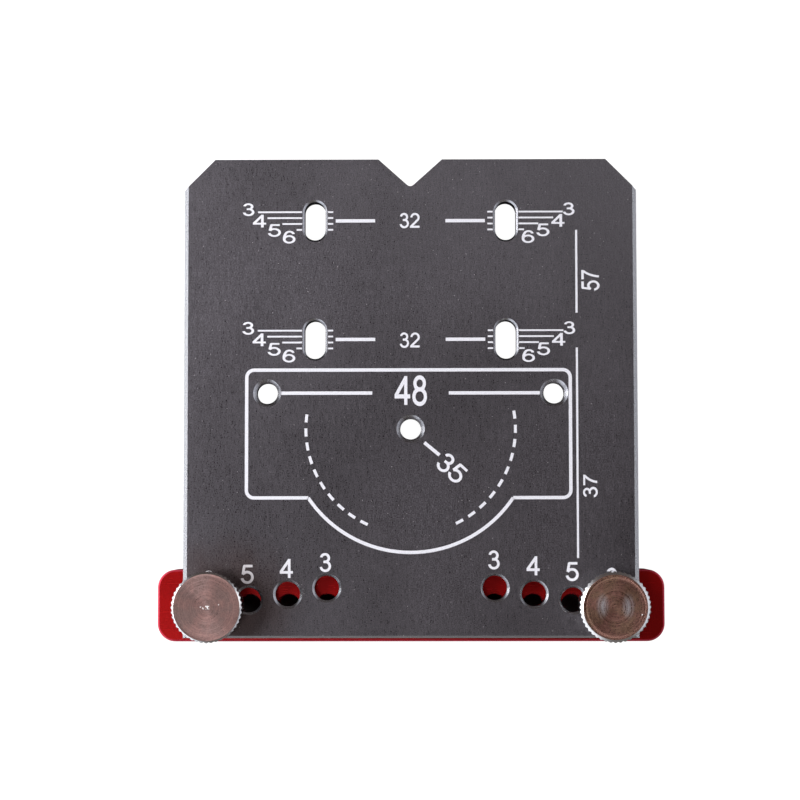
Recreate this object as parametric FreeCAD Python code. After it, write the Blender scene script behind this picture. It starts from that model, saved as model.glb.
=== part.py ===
import FreeCAD, Part
import math
import os

# Hinge drilling jig, in millimetres. A marked template plate lies on the door or the cabinet side, a fence
# bar under it stops against the edge, and two knurled thumb screws hold the bar at one of four setbacks.
# Origin: the axis of the cup centre hole, on the plate's underside. +X runs along the fence, +Y goes from
# the fence to the notched edge, +Z comes out of the marked face.

# Hinge pattern, drilled into the door
cup_diameter = 35.0
cup_screw_spacing = 48.0
cup_screw_offset = 6.0
setbacks = (3.0, 4.0, 5.0, 6.0)
chosen_setback = 6.0

# Mounting plate pattern, drilled into the cabinet side
row_distances = (37.0, 57.0)
slot_spacing = 32.0

# Template plate
plate_width = 76.0
plate_thickness = 3.0
cup_to_fence_edge = 34.8
cup_to_notched_edge = 45.4
corner_cut = 5.2
notch_width = 10.7
notch_depth = 4.8
notch_tip_radius = 0.8
side_chamfer = 0.7
front_chamfer = 0.4
underside_chamfer = 0.25

# Guide holes and slots in the plate
pilot_diameter = 3.5
pilot_chamfer = 0.6
slot_width = 3.5
slot_chamfer = 0.32
setting_hole_diameter = 4.1
setting_hole_chamfer = 0.37
first_setting_x = 14.0
setting_pitch = 6.5

# Fence bar
fence_length = 85.0
fence_width = 12.0
fence_height = 8.0
fence_corner_radius = 3.0
fence_bevel = 0.3
fence_thread_diameter = 4.0

# Thumb screws
thread_clearance = 0.05
head_diameter = 11.7
head_height = 5.5
head_top_bevel = 0.55
head_under_bevel = 0.4
head_running_gap = 0.05
knurl_teeth = 44
knurl_depth = 0.2
shank_length = 10.0
shank_tip_bevel = 0.5

# Engraved lines
engraving_depth = 0.12
outline_line_width = 0.58
figure_line_width = 0.58
tick_line_width = 0.3
distance_line_width = 0.37
rim_to_tick = 0.1

# Engraved outline of the hinge cup and its flange
flange_reach = {-1: 27.42, 1: 26.7}
flange_back = 9.87
flange_front = 11.5
flange_corner_radius = 1.25
flange_cup_radius = 20.6

# Engraved dashes on the cup's circle: first dash above the X axis and angle between dashes, left and right
dash_length = 1.35
dash_width = 0.6
dash_count = 10
first_dash_degrees = {-1: 5.8, 1: 7.7}
dash_step_degrees = {-1: 7.71, 1: 7.78}

# Engraved lines beside the numbers: how far they reach from the plate's centre line
tick_outer_reach = (25.6, 24.0, 21.5, 19.1)
tick_inner_reach = 12.95
slot_line_reach = (5.9, 12.53)
cup_line_reach = (6.4, 21.6)
leader_start = (2.3, -2.31)
leader_end = (4.82, -4.4)
distance_line_x = 27.83
far_distance_line = (19.43, 33.4)
near_distance_line = (-21.55, 13.57)

# Worked out from the sizes above
guide_offset = cup_diameter / 2.0
fence_guide_y = -(guide_offset + chosen_setback)
fence_centre_y = fence_guide_y - fence_width / 2.0
slot_travel = max(setbacks) - min(setbacks)
mean_setback = (max(setbacks) + min(setbacks)) / 2.0
shank_radius = fence_thread_diameter / 2.0 - thread_clearance
slot_rim_radius = slot_width / 2.0 + slot_chamfer
chosen_index = setbacks.index(chosen_setback)
overcut = 1.0
touching = 1e-4

up = FreeCAD.Vector(0, 0, 1)
sides = (-1, 1)


def point(x, y, z=0.0):
    return FreeCAD.Vector(x, y, z)


def prism(wire, bottom, top):
    """Upright solid between two heights, on a flat closed wire drawn at height zero."""
    solid = Part.Face(wire).extrude(up * (top - bottom))
    solid.translate(up * bottom)
    return solid


def setting_x(index):
    """Distance from the centre line of the setting hole for the setback with this index."""
    return first_setting_x + index * setting_pitch


def setting_hole_y(index):
    """A setback's hole stands over the fence's row of threads when the fence is at that setback."""
    return -(guide_offset + setbacks[index]) - fence_width / 2.0


def slot_y(row_distance):
    """Middle of a slot, so that its ends serve the smallest and the largest setback."""
    return row_distance - guide_offset - mean_setback


def tick_y(row_distance, index):
    return row_distance - guide_offset - setbacks[index]


def plate_outline():
    """Plate with two cut corners and a V-notch whose tip is rounded."""
    half = plate_width / 2.0
    front = -cup_to_fence_edge
    back = cup_to_notched_edge
    half_notch = notch_width / 2.0
    slope = math.atan2(notch_depth, half_notch)
    tip_y = back - notch_depth
    tangent_x = notch_tip_radius * math.sin(slope)
    tangent_y = tip_y + tangent_x * math.tan(slope)
    arc_low_y = tangent_y - notch_tip_radius * (1.0 - math.cos(slope))
    left_tangent = point(-tangent_x, tangent_y)
    right_tangent = point(tangent_x, tangent_y)
    path = [
        point(half_notch, back),
        point(half - corner_cut, back),
        point(half, back - corner_cut),
        point(half, front),
        point(-half, front),
        point(-half, back - corner_cut),
        point(-half + corner_cut, back),
        point(-half_notch, back),
    ]
    corners = [right_tangent] + path + [left_tangent]
    edges = [Part.LineSegment(a, b).toShape() for a, b in zip(corners[:-1], corners[1:])]
    edges.append(Part.Arc(left_tangent, point(0, arc_low_y), right_tangent).toShape())
    return Part.Wire(edges)


def slot_outline(x, y, radius, travel):
    """Slot along Y: two straight flanks joined by half circles."""
    low = y - travel / 2.0
    high = y + travel / 2.0
    edges = [
        Part.LineSegment(point(x + radius, low), point(x + radius, high)).toShape(),
        Part.Arc(point(x + radius, high), point(x, high + radius), point(x - radius, high)).toShape(),
        Part.LineSegment(point(x - radius, high), point(x - radius, low)).toShape(),
        Part.Arc(point(x - radius, low), point(x, low - radius), point(x + radius, low)).toShape(),
    ]
    return Part.Wire(edges)


def round_cut(x, y, diameter, bottom, top):
    return Part.makeCylinder(diameter / 2.0, top - bottom, point(x, y, bottom), up)


def pilot_places():
    """Cup centre hole and the two cup screw holes."""
    places = [(0.0, 0.0)]
    for side in sides:
        places.append((side * cup_screw_spacing / 2.0, cup_screw_offset))
    return places


def setting_places():
    places = []
    for index in range(len(setbacks)):
        for side in sides:
            places.append((side * setting_x(index), setting_hole_y(index)))
    return places


def slot_places():
    places = []
    for distance in row_distances:
        for side in sides:
            places.append((side * slot_spacing / 2.0, slot_y(distance)))
    return places


def is_level(shape, z):
    return abs(shape.BoundBox.ZMin - z) < touching and abs(shape.BoundBox.ZMax - z) < touching


def face_at(shape, z):
    """The widest flat face at this height."""
    return max((face for face in shape.Faces if is_level(face, z)), key=lambda face: face.Area)


def rims_at(shape, z, places):
    """Edges of the openings in the face at this height whose middles are at the places given."""
    edges = []
    for wire in face_at(shape, z).Wires:
        middle = wire.BoundBox.Center
        if any(math.hypot(middle.x - x, middle.y - y) < touching for x, y in places):
            edges.extend(wire.Edges)
    return edges


def edge_bevel(x, y, heading, depth):
    """Wedge that planes a bevel along a straight side of the marked face, seen from the heading."""
    reach = depth + overcut
    length = plate_width + cup_to_fence_edge + cup_to_notched_edge
    section = [point(-reach, 0, overcut), point(overcut, 0, -reach), point(overcut, 0, overcut)]
    wedge = Part.Face(Part.makePolygon(section + section[:1])).extrude(point(0, length))
    wedge.translate(point(0, -length / 2.0))
    wedge.rotate(point(0, 0), up, heading)
    wedge.translate(point(x, y, plate_thickness))
    return wedge


def bar(start, end, width):
    """Groove cutter for a straight line with square ends, from the face down to the engraving's floor."""
    length = math.hypot(end[0] - start[0], end[1] - start[1])
    cutter = Part.makeBox(length, width, engraving_depth + overcut, point(0, -width / 2.0))
    cutter.rotate(point(0, 0), up, math.degrees(math.atan2(end[1] - start[1], end[0] - start[0])))
    cutter.translate(point(start[0], start[1], plate_thickness - engraving_depth))
    return cutter


def round_corner(x, y, radius, toward_x, toward_y):
    """Quarter circle about a centre, in the quadrant given by two signs."""
    bulge = radius * math.sqrt(0.5)
    start = point(x + toward_x * radius, y)
    middle = point(x + toward_x * bulge, y + toward_y * bulge)
    end = point(x, y + toward_y * radius)
    return Part.Arc(start, middle, end).toShape()


def flange_outline(grow):
    """Hinge flange with round corners and the cup's arc in front, grown outwards by the amount given."""
    left = -(flange_reach[-1] + grow)
    right = flange_reach[1] + grow
    back = flange_back + grow
    front = -(flange_front + grow)
    cup = flange_cup_radius + grow
    corner = flange_corner_radius + grow
    neck = math.sqrt(cup ** 2 - front ** 2)
    edges = [
        Part.Arc(point(-neck, front), point(0, -cup), point(neck, front)).toShape(),
        Part.LineSegment(point(neck, front), point(right - corner, front)).toShape(),
        round_corner(right - corner, front + corner, corner, 1, -1),
        Part.LineSegment(point(right, front + corner), point(right, back - corner)).toShape(),
        round_corner(right - corner, back - corner, corner, 1, 1),
        Part.LineSegment(point(right - corner, back), point(left + corner, back)).toShape(),
        round_corner(left + corner, back - corner, corner, -1, 1),
        Part.LineSegment(point(left, back - corner), point(left, front + corner)).toShape(),
        round_corner(left + corner, front + corner, corner, -1, -1),
        Part.LineSegment(point(left + corner, front), point(-neck, front)).toShape(),
    ]
    return Part.Wire(Part.sortEdges(edges)[0])


def flange_groove():
    """Groove along the hinge flange's outline."""
    floor = plate_thickness - engraving_depth
    outer = prism(flange_outline(outline_line_width / 2.0), floor, plate_thickness + overcut)
    inner = prism(flange_outline(-outline_line_width / 2.0), floor - overcut, plate_thickness + 2 * overcut)
    return outer.cut(inner)


def dash_grooves():
    """Dashes along the cup's circle, ten on each side."""
    cutters = []
    for side in sides:
        for number in range(dash_count):
            angle = math.radians(first_dash_degrees[side] - number * dash_step_degrees[side])
            middle = (side * guide_offset * math.cos(angle), guide_offset * math.sin(angle))
            along = (-side * math.sin(angle) * dash_length / 2.0, math.cos(angle) * dash_length / 2.0)
            start = (middle[0] - along[0], middle[1] - along[1])
            end = (middle[0] + along[0], middle[1] + along[1])
            cutters.append(bar(start, end, dash_width))
    return cutters


def tick_grooves():
    """Lines for the four setbacks on both sides of each slot."""
    cutters = []
    slot_x = slot_spacing / 2.0
    rim = slot_rim_radius + rim_to_tick
    for distance in row_distances:
        for side in sides:
            for index in range(len(setbacks)):
                y = tick_y(distance, index)
                outer = side * tick_outer_reach[index]
                inner = side * tick_inner_reach
                cutters.append(bar((side * (slot_x + rim), y), (outer, y), tick_line_width))
                cutters.append(bar((inner, y), (side * (slot_x - rim), y), tick_line_width))
    return cutters


def figure_grooves():
    """Lines that run from the numbers to the holes and slots they belong to, and the two distance lines."""
    cutters = [bar(leader_start, leader_end, figure_line_width)]
    for side in sides:
        near, far = cup_line_reach
        y = cup_screw_offset
        cutters.append(bar((side * near, y), (side * far, y), figure_line_width))
        near, far = slot_line_reach
        for distance in row_distances:
            y = slot_y(distance)
            cutters.append(bar((side * near, y), (side * far, y), figure_line_width))
    for low, high in (far_distance_line, near_distance_line):
        cutters.append(bar((distance_line_x, low), (distance_line_x, high), distance_line_width))
    return cutters


def template_plate():
    """Marked plate: bevelled on three sides, with guide holes, slots, setting holes and engraved lines."""
    plate = prism(plate_outline(), 0.0, plate_thickness)
    plate = plate.makeChamfer(underside_chamfer, face_at(plate, 0.0).OuterWire.Edges)
    bevels = [
        edge_bevel(plate_width / 2.0, 0, 0, side_chamfer),
        edge_bevel(-plate_width / 2.0, 0, 180, side_chamfer),
        edge_bevel(0, -cup_to_fence_edge, -90, front_chamfer),
    ]
    plate = plate.cut(bevels)
    cutters = []
    for x, y in pilot_places():
        cutters.append(round_cut(x, y, pilot_diameter, -overcut, plate_thickness + overcut))
    for x, y in setting_places():
        cutters.append(round_cut(x, y, setting_hole_diameter, -overcut, plate_thickness + overcut))
    for x, y in slot_places():
        outline = slot_outline(x, y, slot_width / 2.0, slot_travel)
        cutters.append(prism(outline, -overcut, plate_thickness + overcut))
    plate = plate.cut(cutters)
    plate = plate.makeChamfer(pilot_chamfer, rims_at(plate, plate_thickness, pilot_places()))
    plate = plate.makeChamfer(slot_chamfer, rims_at(plate, plate_thickness, slot_places()))
    plate = plate.makeChamfer(setting_hole_chamfer, rims_at(plate, plate_thickness, setting_places()))
    return plate.cut([flange_groove()] + dash_grooves() + tick_grooves() + figure_grooves())


def fence_bar():
    """Round-cornered bar under the plate, with one thread below each setting hole at the chosen setback."""
    half_length = fence_length / 2.0
    low_y = fence_centre_y - fence_width / 2.0
    block = Part.makeBox(fence_length, fence_width, fence_height, point(-half_length, low_y, -fence_height))
    uprights = [e for e in block.Edges if abs(e.Vertexes[0].Z - e.Vertexes[1].Z) > touching]
    block = block.makeFillet(fence_corner_radius, uprights)
    rims = list(face_at(block, 0.0).OuterWire.Edges) + list(face_at(block, -fence_height).OuterWire.Edges)
    block = block.makeChamfer(fence_bevel, rims)
    threads = []
    for index in range(len(setbacks)):
        for side in sides:
            x = side * setting_x(index)
            bottom = -fence_height - overcut
            threads.append(round_cut(x, fence_centre_y, fence_thread_diameter, bottom, overcut))
    return block.cut(threads)


def knurl_outline():
    """Star of straight knurl teeth around the head."""
    steps = 2 * knurl_teeth
    crest = head_diameter / 2.0
    corners = []
    for step in range(steps):
        angle = 2.0 * math.pi * step / steps
        radius = crest if step % 2 == 0 else crest - knurl_depth
        corners.append(point(radius * math.cos(angle), radius * math.sin(angle)))
    return Part.makePolygon(corners + corners[:1])


def turned_head():
    """Head blank as turned, bevelled above and below, standing on height zero."""
    radius = head_diameter / 2.0
    profile = [
        point(0, 0, 0),
        point(radius - head_under_bevel, 0, 0),
        point(radius, 0, head_under_bevel),
        point(radius, 0, head_height - head_top_bevel),
        point(radius - head_top_bevel, 0, head_height),
        point(0, 0, head_height),
    ]
    section = Part.Face(Part.makePolygon(profile + profile[:1]))
    return section.revolve(point(0, 0), up, 360)


def thumb_screw(side):
    """Knurled head just clear of the marked face, with its shank down in the fence's thread."""
    head = turned_head().common(prism(knurl_outline(), -overcut, head_height + overcut))
    profile = [
        point(0, 0, head_under_bevel),
        point(shank_radius, 0, head_under_bevel),
        point(shank_radius, 0, shank_tip_bevel - shank_length),
        point(shank_radius - shank_tip_bevel, 0, -shank_length),
        point(0, 0, -shank_length),
    ]
    shank = Part.Face(Part.makePolygon(profile + profile[:1])).revolve(point(0, 0), up, 360)
    screw = head.fuse(shank).removeSplitter()
    seat = plate_thickness + head_running_gap
    screw.translate(point(side * setting_x(chosen_index), setting_hole_y(chosen_index), seat))
    return screw


def main():
    nodes = {
        "template_plate": template_plate(),
        "fence_bar": fence_bar(),
        "thumb_screw_left": thumb_screw(-1),
        "thumb_screw_right": thumb_screw(1),
    }
    os.makedirs("parts", exist_ok=True)
    for name, shape in nodes.items():
        if not shape.isValid() or len(shape.Solids) != 1:
            raise ValueError(name + " isn't one valid solid")
        shape.Solids[0].exportStep("parts/" + name + ".step")
        print(name, "volume", round(shape.Volume, 2), "faces", len(shape.Faces))


main()
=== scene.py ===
import math

import bmesh
import bpy
from mathutils import Matrix, Vector


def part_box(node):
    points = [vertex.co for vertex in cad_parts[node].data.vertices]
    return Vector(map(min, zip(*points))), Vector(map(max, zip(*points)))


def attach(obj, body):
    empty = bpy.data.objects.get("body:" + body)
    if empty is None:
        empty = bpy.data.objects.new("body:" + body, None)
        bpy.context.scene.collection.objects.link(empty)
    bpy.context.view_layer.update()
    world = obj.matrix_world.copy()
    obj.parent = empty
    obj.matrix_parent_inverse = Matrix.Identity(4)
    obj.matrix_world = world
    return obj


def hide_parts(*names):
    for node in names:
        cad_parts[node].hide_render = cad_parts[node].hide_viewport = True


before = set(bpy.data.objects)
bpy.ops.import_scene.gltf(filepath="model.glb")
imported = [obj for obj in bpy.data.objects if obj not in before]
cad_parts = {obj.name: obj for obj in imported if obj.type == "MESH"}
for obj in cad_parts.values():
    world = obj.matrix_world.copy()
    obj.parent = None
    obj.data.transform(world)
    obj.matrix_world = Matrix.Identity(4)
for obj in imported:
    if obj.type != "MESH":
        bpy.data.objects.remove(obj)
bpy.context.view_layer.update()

# Hinge drilling jig: brushed grey plate with white numbers, red bar under it, two knurled thumb screws.
# Sizes in the dictionaries are millimetres, the scene is in metres.
mm = 0.001
plateLow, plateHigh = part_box("template_plate")
barLow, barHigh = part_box("fence_bar")
print("frame loaded:", ", ".join(sorted(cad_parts)))


# Small helpers for meshes

def newVerts(geometry):
    # the vertices among what an operator made
    return [g for g in geometry if isinstance(g, bmesh.types.BMVert)]


def openEdges(geometry):
    return [g for g in geometry if isinstance(g, bmesh.types.BMEdge) and g.is_boundary]


def copyInto(source, target):
    mesh = bpy.data.meshes.new("copied")
    source.to_mesh(mesh)
    source.free()
    target.from_mesh(mesh)
    bpy.data.meshes.remove(mesh)


def flatBounds(bm):
    # lowest and highest x and y
    xs = [v.co.x for v in bm.verts]
    ys = [v.co.y for v in bm.verts]
    return Vector((min(xs), min(ys))), Vector((max(xs), max(ys)))


def makePiece(name, bm, body, material, sharpAngle=35):
    # one finished object from a bmesh drawn in millimetres, with its place in its mesh
    bmesh.ops.scale(bm, vec=(mm, mm, mm), verts=bm.verts)
    bmesh.ops.recalc_face_normals(bm, faces=bm.faces)
    mesh = bpy.data.meshes.new(name)
    bm.to_mesh(mesh)
    bm.free()
    mesh.shade_smooth()
    mesh.set_sharp_from_angle(angle=math.radians(sharpAngle))
    mesh.materials.append(material)
    piece = bpy.data.objects.new(name, mesh)
    bpy.context.scene.collection.objects.link(piece)
    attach(piece, body)
    return piece


def dress(nodeName, material):
    # a CAD node keeps its mesh and gets the finished material
    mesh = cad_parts[nodeName].data
    mesh.materials.clear()
    mesh.materials.append(material)


# Small helpers for shader nodes

def addNode(tree, kind, settings=None, inputs=None):
    node = tree.nodes.new("ShaderNode" + kind)
    for name, value in (settings or {}).items():
        setattr(node, name, value)
    for name, value in (inputs or {}).items():
        if isinstance(value, bpy.types.NodeSocket):
            tree.links.new(value, node.inputs[name])
        else:
            node.inputs[name].default_value = value
    return node


def calc(tree, operation, first, second=0.0):
    node = addNode(tree, "Math", {"operation": operation}, {0: first, 1: second})
    return node.outputs[0]


def remap(tree, value, fromLow, fromHigh, toLow, toHigh):
    sockets = {"Value": value, "From Min": fromLow, "From Max": fromHigh, "To Min": toLow, "To Max": toHigh}
    return addNode(tree, "MapRange", {"interpolation_type": "SMOOTHSTEP"}, sockets).outputs["Result"]


def mixColour(tree, factor, first, second, blend="MIX"):
    node = addNode(tree, "Mix", {"data_type": "RGBA", "blend_type": blend}, {0: factor, 6: first, 7: second})
    return node.outputs[2]


def mixValue(tree, factor, first, second):
    return addNode(tree, "Mix", {}, {0: factor, 2: first, 3: second}).outputs[0]


def greyColour(tree, value):
    return addNode(tree, "CombineColor", {}, {0: value, 1: value, 2: value}).outputs[0]


def splitAxes(tree, vector):
    return addNode(tree, "SeparateXYZ", {}, {0: vector}).outputs


def calcVector(tree, operation, first, second):
    return addNode(tree, "VectorMath", {"operation": operation}, {0: first, 1: second}).outputs[0]


def noise(tree, vector, stretch, detail=2.0):
    # noise whose grains are 1/stretch millimetres along each axis
    spread = calcVector(tree, "MULTIPLY", vector, stretch)
    return addNode(tree, "TexNoise", {}, {"Vector": spread, "Scale": 1.0, "Detail": detail}).outputs["Fac"]


def evenNoise(tree, vector, stretch, detail=2.0):
    return noise(tree, vector, (stretch, stretch, stretch), detail)


def softNoise(tree, vector, stretch, detail, low, high):
    # noise spread between a low and a high value
    return remap(tree, noise(tree, vector, stretch, detail), 0.3, 0.7, low, high)


def addBump(tree, shader, height, look):
    sockets = {"Strength": look["bumpStrength"], "Distance": look["bumpDepth"] * mm, "Height": height}
    bump = addNode(tree, "Bump", {}, sockets)
    tree.links.new(bump.outputs["Normal"], shader.inputs["Normal"])


def newGroup(name, inputs, outputs):
    group = bpy.data.node_groups.new(name, "ShaderNodeTree")
    for socketName, kind, value in inputs:
        socket = group.interface.new_socket(name=socketName, in_out="INPUT", socket_type="NodeSocket" + kind)
        if value is not None:
            socket.default_value = value
    for socketName, kind in outputs:
        group.interface.new_socket(name=socketName, in_out="OUTPUT", socket_type="NodeSocket" + kind)
    return group, group.nodes.new("NodeGroupInput").outputs, group.nodes.new("NodeGroupOutput")


def useGroup(tree, group, vector, values):
    return addNode(tree, "Group", {"node_tree": group}, {"Vector": vector, **values}).outputs


def newMaterial(name):
    # the material, its nodes, its shader, the place on the jig in millimetres and the normal
    material = bpy.data.materials.new(name)
    material.use_nodes = True
    tree = material.node_tree
    coordinates = addNode(tree, "TexCoord").outputs
    place = addNode(tree, "Mapping", {}, {"Vector": coordinates["Object"], "Scale": [1 / mm] * 3})
    return material, tree, tree.nodes["Principled BSDF"], place.outputs["Vector"], coordinates["Normal"]


# Effects that several finishes share

def dustGroup():
    # pale specks of dust and swarf, in some of the cells
    group, given, out = newGroup(
        "dustSpecks",
        [
            ("Vector", "Vector", None),
            ("Spacing", "Float", 2.0),
            ("Size", "Float", 0.1),
            ("Share", "Float", 0.3),
        ],
        [("Mask", "Float")],
    )
    perMm = calc(group, "DIVIDE", 1.0, given["Spacing"])
    cells = addNode(group, "TexVoronoi", {}, {"Vector": given["Vector"], "Scale": perMm})
    chance = addNode(group, "SeparateColor", {}, {0: cells.outputs["Color"]}).outputs
    reach = calc(group, "MULTIPLY", calc(group, "MULTIPLY", given["Size"], perMm), chance[1])
    near = calc(group, "LESS_THAN", cells.outputs["Distance"], reach)
    lucky = calc(group, "LESS_THAN", chance[0], given["Share"])
    group.links.new(calc(group, "MULTIPLY", near, lucky), out.inputs["Mask"])
    return group


def grainGroup():
    # fine parallel brush marks with broader ones under them, Marks is how many go to a millimetre
    broadStretch, broadShare = (0.3, 0.3, 0.3), 0.35
    group, given, out = newGroup(
        "brushedGrain",
        [("Vector", "Vector", None), ("Marks", "Vector", (8.0, 0.3, 8.0)), ("Contrast", "Float", 0.2)],
        [("Tone", "Float"), ("Height", "Float")],
    )
    fine = noise(group, given["Vector"], given["Marks"], 3.0)
    broad = noise(group, given["Vector"], calcVector(group, "MULTIPLY", given["Marks"], broadStretch))
    both = mixValue(group, broadShare, fine, broad)
    centred = calc(group, "MULTIPLY", calc(group, "SUBTRACT", both, 0.5), given["Contrast"])
    group.links.new(calc(group, "ADD", centred, 1.0), out.inputs["Tone"])
    group.links.new(both, out.inputs["Height"])
    return group


def paintedLightPatchGroup():
    # round patch at a place on the jig, with a soft and ragged edge; it places the painted shade beside the
    # left screw and the painted highlights on the right screw's face
    edgeStretch, edgeDepth = (0.25, 0.12, 0.25), 0.5
    inner, outer = 0.45, 1.35
    group, given, out = newGroup(
        "softPatch",
        [("Vector", "Vector", None), ("Centre", "Vector", (0, 0, 0)), ("Reach", "Float", 10.0)],
        [("Mask", "Float")],
    )
    apart = addNode(group, "VectorMath", {"operation": "DISTANCE"}, {0: given["Vector"], 1: given["Centre"]})
    ragged = calc(group, "MULTIPLY", noise(group, given["Vector"], edgeStretch), edgeDepth)
    share = calc(group, "ADD", calc(group, "DIVIDE", apart.outputs["Value"], given["Reach"]), ragged)
    group.links.new(remap(group, share, inner, outer, 1.0, 0.0), out.inputs["Mask"])
    return group


def bevelGroup():
    # faces that lie neither flat nor upright, the machined bevels. Its vector is the normal
    flatFrom, uprightBelow = 0.95, 0.2
    group, given, out = newGroup("bevelFaces", [("Vector", "Vector", None)], [("Mask", "Float")])
    tilt = calc(group, "ABSOLUTE", splitAxes(group, given["Vector"])["Z"])
    notFlat = calc(group, "LESS_THAN", tilt, flatFrom)
    notUpright = calc(group, "GREATER_THAN", tilt, uprightBelow)
    group.links.new(calc(group, "MULTIPLY", notFlat, notUpright), out.inputs["Mask"])
    return group


dustSpecks = dustGroup()
brushedGrain = grainGroup()
softPatch = paintedLightPatchGroup()
bevelFaces = bevelGroup()
print("shared finishes ready")


# Finishes

plateFinish = {
    "colour": (0.080, 0.076, 0.085, 1),
    "paintedShade": (0.060, 0.040, 0.037, 1),
    "bare": (0.96, 0.97, 1.0, 1),
    "rim": (0.46, 0.46, 0.48, 1),
    "speck": (0.62, 0.62, 0.64, 1),
    "edgeWidth": 1.2,
    "grain": {"Marks": (9.0, 1.2, 9.0), "Contrast": 1.1},
    "mottle": {"stretch": (7.0, 4.5, 7.0), "tone": (0.78, 1.22)},
    "cloud": {"stretch": (0.05, 0.03, 0.05), "tone": (0.94, 1.06)},
    "paintedShadePatch": {"Centre": (-30.5, -29.0, 3.0), "Reach": 12.5},
    "paintedShadeShare": 0.75,
    "specks": {"Spacing": 0.7, "Size": 0.065, "Share": 0.7},
    "speckShare": 0.5,
    "metallic": 0.95,
    "roughness": 0.34,
    "unevenRoughness": 0.25,
    "holeBevelRoughness": 0.24,
    "outerBevelRoughness": 0.2,
    "anisotropic": 0.6,
    "bumpStrength": 0.25,
    "bumpDepth": 0.02,
}


def makePlateMaterial():
    look = plateFinish
    material, tree, shader, place, normal = newMaterial("brushed_grey_plate")
    grain = useGroup(tree, brushedGrain, place, look["grain"])
    mottle = softNoise(tree, place, look["mottle"]["stretch"], 3.0, *look["mottle"]["tone"])
    cloud = softNoise(tree, place, look["cloud"]["stretch"], 2.0, *look["cloud"]["tone"])
    tone = calc(tree, "MULTIPLY", calc(tree, "MULTIPLY", grain["Tone"], mottle), cloud)
    # painted shade of the left screw: the plate darker and browner in a soft patch beside it
    patch = useGroup(tree, softPatch, place, look["paintedShadePatch"])["Mask"]
    colour = mixColour(tree, calc(tree, "MULTIPLY", patch, look["paintedShadeShare"]), look["colour"], look["paintedShade"])
    colour = mixColour(tree, 1.0, colour, greyColour(tree, tone), "MULTIPLY")
    specks = useGroup(tree, dustSpecks, place, look["specks"])["Mask"]
    colour = mixColour(tree, calc(tree, "MULTIPLY", specks, look["speckShare"]), colour, look["speck"])
    # the outer bevels are bare and bright, those of the holes duller
    parts = splitAxes(tree, place)
    sideStart = plateHigh.x / mm - look["edgeWidth"]
    frontStart = plateLow.y / mm + look["edgeWidth"]
    beside = calc(tree, "GREATER_THAN", calc(tree, "ABSOLUTE", parts["X"]), sideStart)
    before = calc(tree, "LESS_THAN", parts["Y"], frontStart)
    outer = calc(tree, "MAXIMUM", beside, before)
    metal = mixColour(tree, outer, look["rim"], look["bare"])
    bevel = useGroup(tree, bevelFaces, normal, {})["Mask"]
    tree.links.new(mixColour(tree, bevel, colour, metal), shader.inputs["Base Color"])
    tree.links.new(mixValue(tree, bevel, look["metallic"], 1.0), shader.inputs["Metallic"])
    uneven = calc(tree, "MULTIPLY", calc(tree, "SUBTRACT", tone, 1.0), look["unevenRoughness"])
    brushed = calc(tree, "ADD", look["roughness"], uneven)
    machined = mixValue(tree, outer, look["holeBevelRoughness"], look["outerBevelRoughness"])
    tree.links.new(mixValue(tree, bevel, brushed, machined), shader.inputs["Roughness"])
    # the brush marks run along Y, so the sheen spreads along X
    shader.inputs["Anisotropic"].default_value = look["anisotropic"]
    acrossGrain = addNode(tree, "CombineXYZ", {}, {0: 1.0}).outputs[0]
    tree.links.new(acrossGrain, shader.inputs["Tangent"])
    addBump(tree, shader, grain["Height"], look)
    return material


barFinish = {
    "colour": (0.345, 0.0013, 0.002, 1),
    "deep": (0.275, 0.0007, 0.0013, 1),
    "edge": (1.0, 0.09, 0.15, 1),
    "speck": (0.75, 0.35, 0.36, 1),
    "grain": {"Marks": (0.4, 7.0, 7.0), "Contrast": 0.12},
    "cloudStretch": (0.12, 0.25, 0.25),
    "deepShare": 0.5,
    "edgeShare": 0.8,
    "specks": {"Spacing": 2.0, "Size": 0.12, "Share": 0.2},
    "speckShare": 0.5,
    "metallic": 0.7,
    "specular": 0.3,
    "roughness": 0.27,
    "coat": 0.05,
    "coatRoughness": 0.2,
    "bumpStrength": 0.1,
    "bumpDepth": 0.02,
}


def makeBarMaterial():
    look = barFinish
    material, tree, shader, place, normal = newMaterial("red_anodised_bar")
    grain = useGroup(tree, brushedGrain, place, look["grain"])
    cloud = softNoise(tree, place, look["cloudStretch"], 3.0, 0.0, look["deepShare"])
    colour = mixColour(tree, cloud, look["colour"], look["deep"])
    # painted highlight: the bevels are painted a lighter red
    bevel = useGroup(tree, bevelFaces, normal, {})["Mask"]
    colour = mixColour(tree, calc(tree, "MULTIPLY", bevel, look["edgeShare"]), colour, look["edge"])
    specks = useGroup(tree, dustSpecks, place, look["specks"])["Mask"]
    colour = mixColour(tree, calc(tree, "MULTIPLY", specks, look["speckShare"]), colour, look["speck"])
    tree.links.new(colour, shader.inputs["Base Color"])
    tree.links.new(calc(tree, "MULTIPLY", grain["Tone"], look["roughness"]), shader.inputs["Roughness"])
    shader.inputs["Metallic"].default_value = look["metallic"]
    shader.inputs["Specular IOR Level"].default_value = look["specular"]
    shader.inputs["Coat Weight"].default_value = look["coat"]
    shader.inputs["Coat Roughness"].default_value = look["coatRoughness"]
    addBump(tree, shader, grain["Height"], look)
    return material


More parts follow.
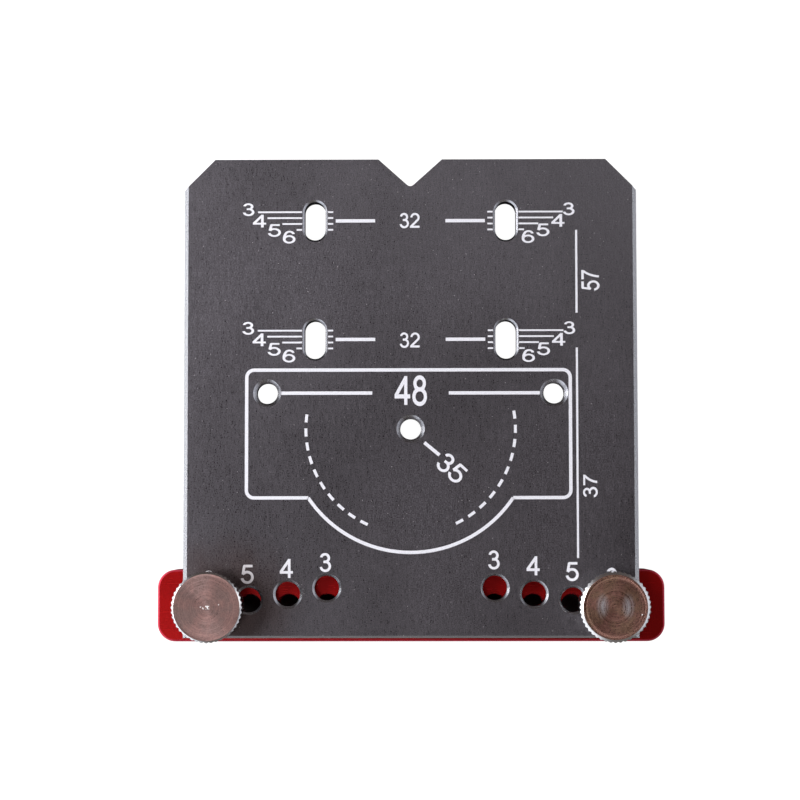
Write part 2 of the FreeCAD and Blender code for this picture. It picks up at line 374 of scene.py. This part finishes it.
screwFinish = {
    "steel": (0.68, 0.67, 0.66, 1),
    "speck": (0.95, 0.95, 0.95, 1),
    "silver": (0.62, 0.64, 0.70, 1),
    "specks": {"Spacing": 0.9, "Size": 0.13, "Share": 0.12},
    "speckShare": 0.85,
    "speckMetallic": 0.3,
    "wobble": {"stretch": 0.5, "width": 0.25},
    "ring": {"stretch": 1.6, "share": 0.7},
    "scuff": {"stretch": 4.5, "share": 0.5},
    "markRange": (0.38, 0.82),
    "markMiddle": 0.6,
    "reflectedBrownStretch": 0.35,
    "reflectedBrownRange": (0.4, 0.6),
    "highlightReach": 1.2,
    "wearAndHighlightShare": 0.8,
    "highlightRange": (0.35, 0.6),
    "glintStretch": 2.4,
    "glintLevel": 0.56,
    "knurlRoughness": 0.22,
    "bumpStrength": 0.35,
    "bumpDepth": 0.03,
    "left": {
        "face": (0.295, 0.182, 0.168, 1),
        "reflectedBrownVariant": (0.245, 0.165, 0.154, 1),
        "ringPitch": 0.33,
        "contrast": 0.28,
        "roughness": 0.31,
        "streaks": 0.3,
        "sheen": 0.65,
        "sheenTurn": 0.91,
        "glintRow": (1.1, 0.3),
        "highlightPlaces": (),
    },
    "right": {
        "face": (0.34, 0.184, 0.151, 1),
        "reflectedBrownVariant": (0.32, 0.198, 0.143, 1),
        "ringPitch": 0.42,
        "contrast": 0.15,
        "roughness": 0.29,
        "streaks": 0.5,
        "sheen": 0.5,
        "sheenTurn": 0.96,
        "glintRow": (0.05, 0.05),
        "highlightPlaces": (-2.15, 2.1),
    },
}


def makeScrewMaterial(side, axis, faceHeight):
    # turned steel: rings about the screw's own axis, the face painted brown as a painted reflection of the
    # dim brown overhead, bright bevels and knurl
    look = screwFinish
    own = look[side]
    material, tree, shader, place, normal = newMaterial("turned_steel_" + side)
    fromAxis = calcVector(tree, "SUBTRACT", place, (axis.x / mm, axis.y / mm, 0))
    parts = splitAxes(tree, fromAxis)
    squares = [calc(tree, "MULTIPLY", parts[name], parts[name]) for name in ("X", "Y")]
    radius = calc(tree, "SQRT", calc(tree, "ADD", *squares))
    wobble, ring, scuff = look["wobble"], look["ring"], look["scuff"]
    wander = calc(tree, "MULTIPLY", evenNoise(tree, fromAxis, wobble["stretch"]), wobble["width"])
    turns = calc(tree, "DIVIDE", calc(tree, "ADD", radius, wander), own["ringPitch"])
    acrossRings = addNode(tree, "CombineXYZ", {}, {0: turns}).outputs[0]
    rings = evenNoise(tree, acrossRings, ring["stretch"], 4.0)
    scuffs = evenNoise(tree, fromAxis, scuff["stretch"], 4.0)
    ringMarks = calc(tree, "MULTIPLY", rings, ring["share"])
    marks = calc(tree, "ADD", ringMarks, calc(tree, "MULTIPLY", scuffs, scuff["share"]))
    shade = remap(tree, marks, *look["markRange"], 1 - own["contrast"], 1 + own["contrast"])
    # painted reflection: the face's brown mixed with a second brown in soft patches
    reflectedBrownMix = remap(tree, evenNoise(tree, fromAxis, look["reflectedBrownStretch"]), *look["reflectedBrownRange"], 0.0, 1.0)
    brown = mixColour(tree, reflectedBrownMix, own["face"], own["reflectedBrownVariant"])
    faceColour = mixColour(tree, 1.0, brown, greyColour(tree, shade), "MULTIPLY")
    # painted highlight: the right head's face is painted silver in streaks on both sides of its middle, where
    # its turned rings catch the side light
    streaks = remap(tree, rings, *look["highlightRange"], 0.3, 1.0)
    flattened = calcVector(tree, "MULTIPLY", fromAxis, (1.0, 0.5, 1.0))
    for shift in own["highlightPlaces"]:
        spot = {"Centre": (shift, 0.1, faceHeight), "Reach": look["highlightReach"]}
        streaked = calc(tree, "MULTIPLY", useGroup(tree, softPatch, flattened, spot)["Mask"], streaks)
        wearAndHighlight = calc(tree, "MULTIPLY", streaked, look["wearAndHighlightShare"])
        faceColour = mixColour(tree, wearAndHighlight, faceColour, look["silver"])
    face = calc(tree, "GREATER_THAN", splitAxes(tree, normal)["Z"], 0.9)
    colour = mixColour(tree, face, look["steel"], faceColour)
    # small bright marks in a row across the middle: the dents where the screw was parted off, painted as the
    # glints they give
    long, wide = own["glintRow"]
    offRow = calcVector(tree, "DIVIDE", fromAxis, (long, wide, 1000.0))
    fromRow = addNode(tree, "VectorMath", {"operation": "LENGTH"}, {0: offRow}).outputs["Value"]
    glinting = calc(tree, "GREATER_THAN", evenNoise(tree, fromAxis, look["glintStretch"]), look["glintLevel"])
    dentGlints = calc(tree, "MULTIPLY", calc(tree, "LESS_THAN", fromRow, 1.0), glinting)
    specks = useGroup(tree, dustSpecks, place, look["specks"])["Mask"]
    bright = calc(tree, "MAXIMUM", specks, dentGlints)
    colour = mixColour(tree, calc(tree, "MULTIPLY", bright, look["speckShare"]), colour, look["speck"])
    tree.links.new(colour, shader.inputs["Base Color"])
    tree.links.new(mixValue(tree, bright, 1.0, look["speckMetallic"]), shader.inputs["Metallic"])
    uneven = calc(tree, "MULTIPLY", calc(tree, "SUBTRACT", marks, look["markMiddle"]), own["streaks"])
    turned = calc(tree, "ADD", own["roughness"], uneven)
    tree.links.new(mixValue(tree, face, look["knurlRoughness"], turned), shader.inputs["Roughness"])
    shader.inputs["Anisotropic"].default_value = own["sheen"]
    shader.inputs["Anisotropic Rotation"].default_value = own["sheenTurn"]
    tangent = addNode(tree, "Tangent", {"direction_type": "RADIAL", "axis": "Z"})
    tree.links.new(tangent.outputs[0], shader.inputs["Tangent"])
    addBump(tree, shader, marks, look)
    return material


inkFinish = {
    "colour": (0.66, 0.675, 0.72, 1),
    "wearAndHighlight": (0.50, 0.50, 0.54, 1),
    "shaded": (0.36, 0.33, 0.33, 1),
    "etchStretch": 5.0,
    "etchRange": (0.36, 0.56),
    "wearAndHighlightShare": 0.5,
    "shadedShare": 0.8,
    "roughness": 0.6,
    "bumpStrength": 0.3,
    "bumpDepth": 0.02,
}


def makeInkMaterial():
    look = inkFinish
    material, tree, shader, place, _ = newMaterial("white_marks")
    etching = evenNoise(tree, place, look["etchStretch"], 4.0)
    etched = remap(tree, etching, *look["etchRange"], look["wearAndHighlightShare"], 0.0)
    colour = mixColour(tree, etched, look["colour"], look["wearAndHighlight"])
    # painted shade of the left screw: the numbers near it turn greyer
    patch = useGroup(tree, softPatch, place, plateFinish["paintedShadePatch"])["Mask"]
    colour = mixColour(tree, calc(tree, "MULTIPLY", patch, look["shadedShare"]), colour, look["shaded"])
    tree.links.new(colour, shader.inputs["Base Color"])
    shader.inputs["Roughness"].default_value = look["roughness"]
    addBump(tree, shader, etched, look)
    return material


plateMaterial = makePlateMaterial()
barMaterial = makeBarMaterial()
inkMaterial = makeInkMaterial()
dress("template_plate", plateMaterial)
dress("fence_bar", barMaterial)
print("finishes on the plate and the bar")


# White marks: a flat pen draws straight lines and arcs, which then get their thickness

def inkLine(bm, x0, y0, x1, y1, width):
    along = Vector((x1 - x0, y1 - y0, 0))
    side = Vector((-along.y, along.x, 0)).normalized() * width / 2
    start = Vector((x0, y0, 0))
    nib = bm.edges.new((bm.verts.new(start + side), bm.verts.new(start - side)))
    drawn = bmesh.ops.extrude_edge_only(bm, edges=[nib])["geom"]
    bmesh.ops.translate(bm, vec=along, verts=newVerts(drawn))


def inkArc(bm, x, y, radius, start, end, width, stepDegrees=6):
    angle = math.radians(start)
    outward = Vector((math.cos(angle), math.sin(angle), 0))
    centre = Vector((x, y, 0))
    ends = [bm.verts.new(centre + outward * (radius + shift)) for shift in (width / 2, -width / 2)]
    nib = bm.edges.new(ends)
    whole = abs(end - start) >= 360
    bmesh.ops.spin(bm, geom=ends + [nib], cent=centre, axis=(0, 0, 1), angle=math.radians(end - start),
                   steps=max(2, math.ceil(abs(end - start) / stepDegrees)), use_merge=whole)


def raiseInk(bm, bottom, top):
    # flat strokes on height zero become thin solids
    bmesh.ops.remove_doubles(bm, verts=bm.verts, dist=0.0005)
    bmesh.ops.translate(bm, vec=(0, 0, bottom), verts=bm.verts)
    grown = bmesh.ops.extrude_face_region(bm, geom=list(bm.faces))["geom"]
    bmesh.ops.translate(bm, vec=(0, 0, top - bottom), verts=newVerts(grown))


# Strokes of each numeral, one unit high: a line is x0, y0, x1, y1, an arc is x, y, radius, start, end
numeralStrokes = {
    "2": [(0.39, 0.70, 0.25, 178, -38), (0.60, 0.56, 0.13, 0.10), (0.042, 0.0625, 0.703, 0.0625)],
    "3": [(0.375, 0.742, 0.212, 170, -90), (0.285, 0.53, 0.40, 0.53), (0.39, 0.285, 0.252, 95, -172)],
    "4": [(0.513, 0.0, 0.513, 1.0), (0.018, 0.2955, 0.709, 0.2955), (0.069, 0.316, 0.525, 0.964)],
    "5": [(0.19, 0.934, 0.662, 0.934), (0.222, 0.965, 0.137, 0.475), (0.375, 0.322, 0.285, 149, -170)],
    "6": [(0.388, 0.315, 0.275, 0, 360), (0.41, 0.745, 0.208, 3, 150), (0.986, 0.4125, 0.873, 150, 186)],
    "7": [(0.066, 0.934, 0.713, 0.934), (1.705, -0.075, 1.437, 137, 177)],
    "8": [(0.386, 0.746, 0.210, 0, 360), (0.386, 0.286, 0.256, 0, 360)],
}

# The numbers on the plate. A label is text, middle x and y, height, width against a plain numeral, turn
numbers = {
    "weight": 0.142,  # of a numeral's height, as is the advance
    "advance": 0.745,
    "layer": 0.004,  # each stroke lies this much above the one before
    "thickness": 0.02,
    "sunk": 0.005,
    "labels": [
        ("32", -0.11, 35.03, 2.6, 0.99, 0),
        ("32", -0.12, 14.86, 2.6, 0.99, 0),
        ("48", 0.03, 6.38, 5.15, 0.78, 0),
        ("57", 30.18, 24.87, 3.05, 0.82, 90),
        ("37", 29.94, -9.59, 2.45, 1.18, 90),
        ("35", 6.87, -6.6, 3.3, 1.13, -42),
    ],
    "scaleText": {"3": (26.9, 36.94), "4": (25.07, 35.01), "5": (22.55, 33.4), "6": (20.06, 32.27)},
    "scaleShift": -0.29,
    "scaleHeight": 2.15,
    "scaleWidth": 1.5,
    "rowStep": 20.04,
    "settingText": ("3", "4", "5", "6"),
    "settingStart": (14.03, -22.06),
    "settingStep": (6.5, -0.97),
    "settingShift": (-0.2, 0.2),
    "settingHeight": 3.17,
    "settingWidth": 1.0,
}


def drawNumber(bm, text, x, y, height, stretch, turn):
    label = bmesh.new()
    for place, numeral in enumerate(text):
        for layer, stroke in enumerate(numeralStrokes[numeral]):
            inked = bmesh.new()
            draw = inkLine if len(stroke) == 4 else inkArc
            draw(inked, *stroke, numbers["weight"])
            shift = (place * numbers["advance"], 0, layer * numbers["layer"])
            bmesh.ops.translate(inked, vec=shift, verts=inked.verts)
            copyInto(inked, label)
    low, high = flatBounds(label)
    bmesh.ops.translate(label, vec=(-(low + high) / 2).to_3d(), verts=label.verts)
    size = height / (high.y - low.y)
    bmesh.ops.scale(label, vec=(size * stretch, size, 1), verts=label.verts)
    turned = Matrix.Translation((x, y, 0)) @ Matrix.Rotation(math.radians(turn), 4, "Z")
    bmesh.ops.transform(label, matrix=turned, verts=label.verts)
    copyInto(label, bm)


def makeNumbers():
    bm = bmesh.new()
    for label in numbers["labels"]:
        drawNumber(bm, *label)
    for side in (-1, 1):
        for row in range(2):
            for text, (x, y) in numbers["scaleText"].items():
                drawNumber(bm, text, side * x + numbers["scaleShift"], y - row * numbers["rowStep"],
                           numbers["scaleHeight"], numbers["scaleWidth"], 0)
        startX, startY = numbers["settingStart"]
        stepX, stepY = numbers["settingStep"]
        shiftX, shiftY = numbers["settingShift"]
        for index, text in enumerate(numbers["settingText"]):
            x = startX + index * stepX
            y = startY + index * stepY
            drawNumber(bm, text, side * x + shiftX, y + side * shiftY,
                       numbers["settingHeight"], numbers["settingWidth"], 0)
    top = plateHigh.z / mm
    raiseInk(bm, top - numbers["sunk"], top + numbers["thickness"])
    makePiece("plate_numbers", bm, "jig", inkMaterial)


makeNumbers()
print("numbers drawn")


# Lines filled with white, in the plate's engraved grooves
lines = {
    "depth": 0.12,  # of the CAD plate's grooves
    "proud": 0.012,
    "play": 0.02,  # the white is this much narrower than its groove
    "thin": 0.3,
    "thick": 0.58,
    "middling": 0.37,
    "slotX": 16.0,
    "slotRim": 2.17,
    "slotRows": (35.0, 15.0),
    "tickRows": (1.5, 0.5, -0.5, -1.5),
    "tickOuter": (25.6, 24.0, 21.5, 19.1),
    "tickInner": 12.95,
    "slotLine": (5.9, 12.53),
    "cupLine": (6.4, 21.6),
    "cupLineY": 6.0,
    "leader": (2.3, -2.31, 4.82, -4.4),
    "distanceX": 27.83,
    "distances": ((19.43, 33.4), (-21.55, 13.57)),
}


def finishLines(name, bm):
    top = plateHigh.z / mm
    raiseInk(bm, top - lines["depth"], top + lines["proud"])
    makePiece(name, bm, "jig", inkMaterial)


def makeScaleLines():
    bm = bmesh.new()
    width = lines["thin"] - lines["play"]
    slotX, rim = lines["slotX"], lines["slotRim"]
    for side in (-1, 1):
        for row in lines["slotRows"]:
            for step, outer in zip(lines["tickRows"], lines["tickOuter"]):
                y = row + step
                inkLine(bm, side * (slotX + rim), y, side * outer, y, width)
                inkLine(bm, side * lines["tickInner"], y, side * (slotX - rim), y, width)
    finishLines("scale_lines", bm)


def makeFigureLines():
    bm = bmesh.new()
    width = lines["thick"] - lines["play"]
    inkLine(bm, *lines["leader"], width)
    for side in (-1, 1):
        near, far = lines["cupLine"]
        inkLine(bm, side * near, lines["cupLineY"], side * far, lines["cupLineY"], width)
        for row in lines["slotRows"]:
            near, far = lines["slotLine"]
            inkLine(bm, side * near, row, side * far, row, width)
    for low, high in lines["distances"]:
        inkLine(bm, lines["distanceX"], low, lines["distanceX"], high, lines["middling"] - lines["play"])
    finishLines("figure_lines", bm)


# Hinge drawing: the flange's outline and the dashed cup circle
hinge = {
    "left": -27.42,
    "right": 26.7,
    "back": 9.87,
    "front": -11.5,
    "corner": 1.25,
    "cup": 20.6,
    "dashRadius": 17.5,
    "dashLength": 1.35,
    "dashWidth": 0.51,
    "dashes": 10,
    "firstDash": {-1: 5.8, 1: 7.7},
    "dashStep": {-1: 7.71, 1: 7.78},
}


def makeHingeOutline():
    bm = bmesh.new()
    width = lines["thick"] - lines["play"]
    left, right, back, front = (hinge[key] for key in ("left", "right", "back", "front"))
    corner, cup = hinge["corner"], hinge["cup"]
    neck = math.sqrt(cup ** 2 - front ** 2)
    neckAngle = math.degrees(math.atan2(front, neck))
    inkArc(bm, 0, 0, cup, neckAngle, -180 - neckAngle, width, 3)
    inkLine(bm, neck, front, right - corner, front, width)
    inkArc(bm, right - corner, front + corner, corner, -90, 0, width, 10)
    inkLine(bm, right, front + corner, right, back - corner, width)
    inkArc(bm, right - corner, back - corner, corner, 0, 90, width, 10)
    inkLine(bm, right - corner, back, left + corner, back, width)
    inkArc(bm, left + corner, back - corner, corner, 90, 180, width, 10)
    inkLine(bm, left, back - corner, left, front + corner, width)
    inkArc(bm, left + corner, front + corner, corner, 180, 270, width, 10)
    inkLine(bm, left + corner, front, -neck, front, width)
    finishLines("hinge_outline", bm)


def makeCupDashes():
    bm = bmesh.new()
    width = hinge["dashWidth"] - lines["play"]
    half = math.degrees(hinge["dashLength"] / hinge["dashRadius"]) / 2
    for side in (-1, 1):
        for number in range(hinge["dashes"]):
            above = hinge["firstDash"][side] - number * hinge["dashStep"][side]
            angle = above if side > 0 else 180 - above
            inkArc(bm, 0, 0, hinge["dashRadius"], angle - half, angle + half, width)
    finishLines("cup_dashes", bm)


makeScaleLines()
makeFigureLines()
makeHingeOutline()
makeCupDashes()
print("engraved lines filled")


# Thumb screws

screw = {
    "teeth": 44,
    "pointsPerTooth": 6,
    "toothDepth": 0.2,
    "toothRound": 0.8,
    "headHeight": 5.5,
    "underBevel": 0.4,
    "underLip": 0.01,
    "bevelSlope": 0.9,
    "lip": (0.05, 0.03),  # width and height of the turned edge of the face
    "grooveSection": ((0.0, 0.0), (0.07, 1.0), (0.17, 1.0), (0.24, 0.0)),
    "grooveRoom": 0.34,
    "smallestRing": 0.5,
    "neck": (0.4, 0.25),  # width and height of the round corner under the head
    "coreRadius": 1.62,
    "threadRadius": 1.94,
    "threadPitch": 0.7,
    "threadTurns": 12,
    "threadStart": -0.5,
    "threadSunk": 0.1,
    "tip": (0.4, 0.5),  # width and height of the bevel at the shank's end
    "left": {"topBevel": 0.33, "groove": 0.0, "rim": 0.25, "ringDepth": 0.01, "ringPitch": 0.42},
    "right": {"topBevel": 0.5, "groove": 0.02, "rim": 0.45, "ringDepth": 0.008, "ringPitch": 0.36},
}


def nextRing(bm, edges, radiusAt, heightAt):
    # one more ring of the turned shape, each point placed by its angle about the axis
    grown = bmesh.ops.extrude_edge_only(bm, edges=edges)["geom"]
    for vert in newVerts(grown):
        angle = math.atan2(vert.co.y, vert.co.x)
        radius = radiusAt(angle)
        vert.co = (radius * math.cos(angle), radius * math.sin(angle), heightAt(radius))
    return openEdges(grown)


def plainRing(bm, edges, radius, height):
    return nextRing(bm, edges, lambda angle: radius, lambda r: height)


def closeRing(bm, edges):
    bmesh.ops.edgeloop_fill(bm, edges=edges)


def threadRidge(bm, x, y, rootRadius, crestRadius, top, pitch, turns, steps=32):
    # right-hand thread: one turn of its ridge is wound, then copied down by the pitch
    rootHalf, crestHalf = pitch * 0.43, pitch * 0.07
    section = [(rootRadius, rootHalf), (crestRadius, crestHalf),
               (crestRadius, -crestHalf), (rootRadius, -rootHalf)]
    ridge = bmesh.new()
    verts = [ridge.verts.new((x + radius, y, top + height)) for radius, height in section]
    edges = [ridge.edges.new((verts[index - 1], vert)) for index, vert in enumerate(verts)]
    bmesh.ops.spin(ridge, geom=verts + edges, cent=(x, y, 0), axis=(0, 0, 1), dvec=(0, 0, -pitch / steps),
                   angle=-2 * math.pi, steps=steps, use_merge=False)
    oneTurn = list(ridge.verts) + list(ridge.edges) + list(ridge.faces)
    for number in range(1, turns):
        copied = bmesh.ops.duplicate(ridge, geom=oneTurn)["geom"]
        bmesh.ops.translate(ridge, vec=(0, 0, -pitch * number), verts=newVerts(copied))
    bmesh.ops.remove_doubles(ridge, verts=ridge.verts, dist=0.001)
    bmesh.ops.edgeloop_fill(ridge, edges=[edge for edge in ridge.edges if edge.is_boundary])
    copyInto(ridge, bm)


def makeThumbScrew(side):
    node = "thumb_screw_" + side
    low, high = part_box(node)
    own = screw[side]
    height = screw["headHeight"]
    crest = (high.x - low.x) / 2 / mm
    seat = high.z / mm - height
    tip = low.z / mm - seat
    bevel = own["topBevel"]
    under = screw["underBevel"]

    def toothRadius(angle):
        # rounded crests and tighter valleys
        wave = (1 + math.cos(angle * screw["teeth"])) / 2
        return crest - screw["toothDepth"] * (1 - wave ** screw["toothRound"])

    bm = bmesh.new()
    start = bmesh.ops.create_circle(bm, cap_ends=False, radius=crest - under,
                                    segments=screw["teeth"] * screw["pointsPerTooth"])["verts"]
    startEdges = list({edge for vert in start for edge in vert.link_edges})
    # upwards, the lower bevel, the knurl, the upper bevel, then the turned face towards the middle
    edges = nextRing(bm, startEdges, toothRadius, lambda r: max(under - (crest - r), screw["underLip"]))
    edges = nextRing(bm, edges, toothRadius, lambda r: height - bevel + (crest - r) * screw["bevelSlope"])
    lipWidth, lipDrop = screw["lip"]
    edges = plainRing(bm, edges, crest - bevel, height - lipDrop)
    edges = plainRing(bm, edges, crest - bevel - lipWidth, height)
    radius = crest - bevel - own["rim"]
    if own["groove"]:
        for inset, depth in screw["grooveSection"]:
            edges = plainRing(bm, edges, radius - inset, height - depth * own["groove"])
        radius -= screw["grooveRoom"]
    while radius > screw["smallestRing"]:
        edges = plainRing(bm, edges, radius, height - own["ringDepth"])
        edges = plainRing(bm, edges, radius - own["ringPitch"] / 2, height - own["ringDepth"] * 2)
        radius -= own["ringPitch"]
    closeRing(bm, edges)
    # downwards, the flat underside, the core of the shank and its bevelled tip
    core = screw["coreRadius"]
    neckWidth, neckHeight = screw["neck"]
    tipWidth, tipHeight = screw["tip"]
    edges = plainRing(bm, startEdges, core + neckWidth, 0.0)
    edges = plainRing(bm, edges, core, -neckHeight)
    edges = plainRing(bm, edges, core, tip + tipHeight)
    edges = plainRing(bm, edges, core - tipWidth, tip)
    closeRing(bm, edges)
    threadRidge(bm, 0, 0, core - screw["threadSunk"], screw["threadRadius"], screw["threadStart"],
                screw["threadPitch"], screw["threadTurns"])
    middle = Vector(((low.x + high.x) / 2 / mm, (low.y + high.y) / 2 / mm, seat))
    bmesh.ops.translate(bm, vec=middle, verts=bm.verts)
    material = makeScrewMaterial(side, middle * mm, seat + height)
    piece = makePiece(side + "_thumb_screw", bm, side + "_screw", material, 30)
    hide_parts(node)


for side in ("left", "right"):
    makeThumbScrew(side)
print("thumb screws turned and knurled")


# Threads in the bar's free holes
barThread = {
    "holesX": (14.0, 20.5, 27.0),
    "holeY": -29.5,
    "wall": 2.03,
    "crest": 1.84,
    "pitch": 0.7,
    "turns": 9,
    "clear": 0.9,  # the thread starts this much below the bar's top
}


def makeBarThreads():
    bm = bmesh.new()
    for side in (-1, 1):
        for x in barThread["holesX"]:
            threadRidge(bm, side * x, barThread["holeY"], barThread["wall"], barThread["crest"],
                        barHigh.z / mm - barThread["clear"], barThread["pitch"], barThread["turns"])
    makePiece("bar_threads", bm, "jig", barMaterial, 30)


makeBarThreads()
print("threads cut in the bar")


# Floor, light and camera

studio = {
    "floorSize": 6.0,
    "floorGap": 0.00005,
    "floorGrey": (0.13, 0.13, 0.13, 1),
    "floorRoughness": 0.9,
    "shadeInset": 1.0,  # how far the dark under the bar stays behind its edges
    "lowBand": (0.12, 0.50),  # the sides' glow fades out between these heights of the sky
    "frontRamp": (-0.9, -0.2),
    "rightRamp": (0.5, 0.95),
    "leftRamp": (-0.85, -0.3),
    "leftTurn": 0.27,
    "zenith": (0.11, 0.076, 0.072, 1),
    "leftGlow": (1.70, 1.77, 1.93, 1),
    "rightGlow": (1.05, 1.08, 1.20, 1),
    "frontGlow": (0.20, 0.185, 0.175, 1),
    "backGlow": (0.11, 0.095, 0.09, 1),
    "panels": {
        "left": {"place": (-0.42, 0.07, 0.31), "size": (0.36, 0.34), "power": 5.4, "colour": (1, 0.99, 1.01)},
        "right": {"place": (0.50, 0.10, 0.30), "size": (0.30, 0.26), "power": 0.4, "colour": (0.97, 0.98, 1)},
        "front": {"place": (-0.09, -0.16, 0.60), "size": (0.20, 0.12), "power": 0.24, "colour": (1, 1, 1)},
        "back": {"place": (0.11, 0.17, 0.60), "size": (0.24, 0.16), "power": 0.22, "colour": (1, 1, 1)},
    },
}


def makeFloor():
    bm = bmesh.new()
    bmesh.ops.create_grid(bm, x_segments=1, y_segments=1, size=studio["floorSize"] / 2)
    bmesh.ops.translate(bm, vec=(0, 0, barLow.z - studio["floorGap"]), verts=bm.verts)
    mesh = bpy.data.meshes.new("floor")
    bm.to_mesh(mesh)
    bm.free()
    material, tree, shader, place, _ = newMaterial("pale_floor")
    shader.inputs["Base Color"].default_value = studio["floorGrey"]
    shader.inputs["Roughness"].default_value = studio["floorRoughness"]
    shader.inputs["Specular IOR Level"].default_value = 0.0
    shader.inputs["Emission Color"].default_value = (1, 1, 1, 1)
    # the picture's floor is plain white, except in the full shade under the bar
    parts = splitAxes(tree, place)
    middle = (barLow.y + barHigh.y) / 2 / mm
    halfWidth = (barHigh.y - barLow.y) / 2 / mm - studio["shadeInset"]
    halfLength = barHigh.x / mm - studio["shadeInset"]
    offMiddle = calc(tree, "ABSOLUTE", calc(tree, "SUBTRACT", parts["Y"], middle))
    beside = calc(tree, "GREATER_THAN", offMiddle, halfWidth)
    beyond = calc(tree, "GREATER_THAN", calc(tree, "ABSOLUTE", parts["X"]), halfLength)
    seen = addNode(tree, "LightPath").outputs["Is Camera Ray"]
    glow = calc(tree, "MULTIPLY", calc(tree, "MAXIMUM", beside, beyond), seen)
    tree.links.new(glow, shader.inputs["Emission Strength"])
    # from under the floor the jig can be seen through it
    under = addNode(tree, "NewGeometry").outputs["Backfacing"]
    tree.links.new(calc(tree, "SUBTRACT", 1.0, under), shader.inputs["Alpha"])
    mesh.materials.append(material)
    floor = bpy.data.objects.new("floor", mesh)
    bpy.context.scene.collection.objects.link(floor)


def makeWorld():
    # bright low down on the left, weaker on the right, faint in front and behind, dim brown overhead
    world = bpy.data.worlds.new("studio")
    bpy.context.scene.world = world
    world.use_nodes = True
    tree = world.node_tree
    direction = splitAxes(tree, addNode(tree, "TexCoord").outputs["Generated"])
    low = remap(tree, direction["Z"], *studio["lowBand"], 1.0, 0.0)
    leftness = calc(tree, "ADD", direction["X"], calc(tree, "MULTIPLY", direction["Y"], studio["leftTurn"]))
    front = remap(tree, direction["Y"], *studio["frontRamp"], 1.0, 0.0)
    right = remap(tree, direction["X"], *studio["rightRamp"], 0.0, 1.0)
    left = remap(tree, leftness, *studio["leftRamp"], 1.0, 0.0)
    sides = mixColour(tree, front, studio["backGlow"], studio["frontGlow"])
    sides = mixColour(tree, right, sides, studio["rightGlow"])
    sides = mixColour(tree, left, sides, studio["leftGlow"])
    sky = mixColour(tree, low, studio["zenith"], sides)
    seen = addNode(tree, "LightPath").outputs["Is Camera Ray"]
    # past the floor the camera sees white
    white = (1, 1, 1, 1)
    tree.links.new(mixColour(tree, seen, sky, white), tree.nodes["Background"].inputs["Color"])


def makePanels():
    for name, panel in studio["panels"].items():
        light = bpy.data.lights.new(name + "_panel", "AREA")
        light.shape = "RECTANGLE"
        light.size, light.size_y = panel["size"]
        light.energy = panel["power"]
        light.color = panel["colour"]
        lamp = bpy.data.objects.new(name + "_panel", light)
        lamp.location = panel["place"]
        lamp.rotation_euler = (-Vector(panel["place"])).to_track_quat("-Z", "Y").to_euler()
        lamp.visible_camera = False
        bpy.context.scene.collection.objects.link(lamp)


# The camera looks down at the jig, a little off its middle and hardly tilted, in metres and radians
camera = {
    "distance": 0.350,
    "aside": -1.798 * mm,
    "ahead": 4.991 * mm,
    "pitch": -0.0594,
    "yaw": -0.0094,
    "roll": 0.0012,
    "pixelsPerMetre": 5935.0,
    "imageWidth": 800,
    "sensor": 36.0,
    "clip": (0.01, 20.0),
}


def makeCamera():
    data = bpy.data.cameras.new("camera")
    data.sensor_width = camera["sensor"]
    data.lens = camera["pixelsPerMetre"] * camera["distance"] / camera["imageWidth"] * camera["sensor"]
    data.clip_start, data.clip_end = camera["clip"]
    turn = (Matrix.Rotation(camera["roll"], 4, "Z") @ Matrix.Rotation(camera["pitch"], 4, "X")
            @ Matrix.Rotation(camera["yaw"], 4, "Y"))
    seen = bpy.data.objects.new("camera", data)
    bpy.context.scene.collection.objects.link(seen)
    away = Vector((camera["aside"], camera["ahead"], camera["distance"]))
    seen.matrix_world = turn.transposed() @ Matrix.Translation(away)
    bpy.context.scene.camera = seen


makeFloor()
makeWorld()
makePanels()
makeCamera()
bpy.context.scene.view_settings.view_transform = "Standard"
bpy.context.scene.view_settings.look = "None"
print("floor, light and camera placed")
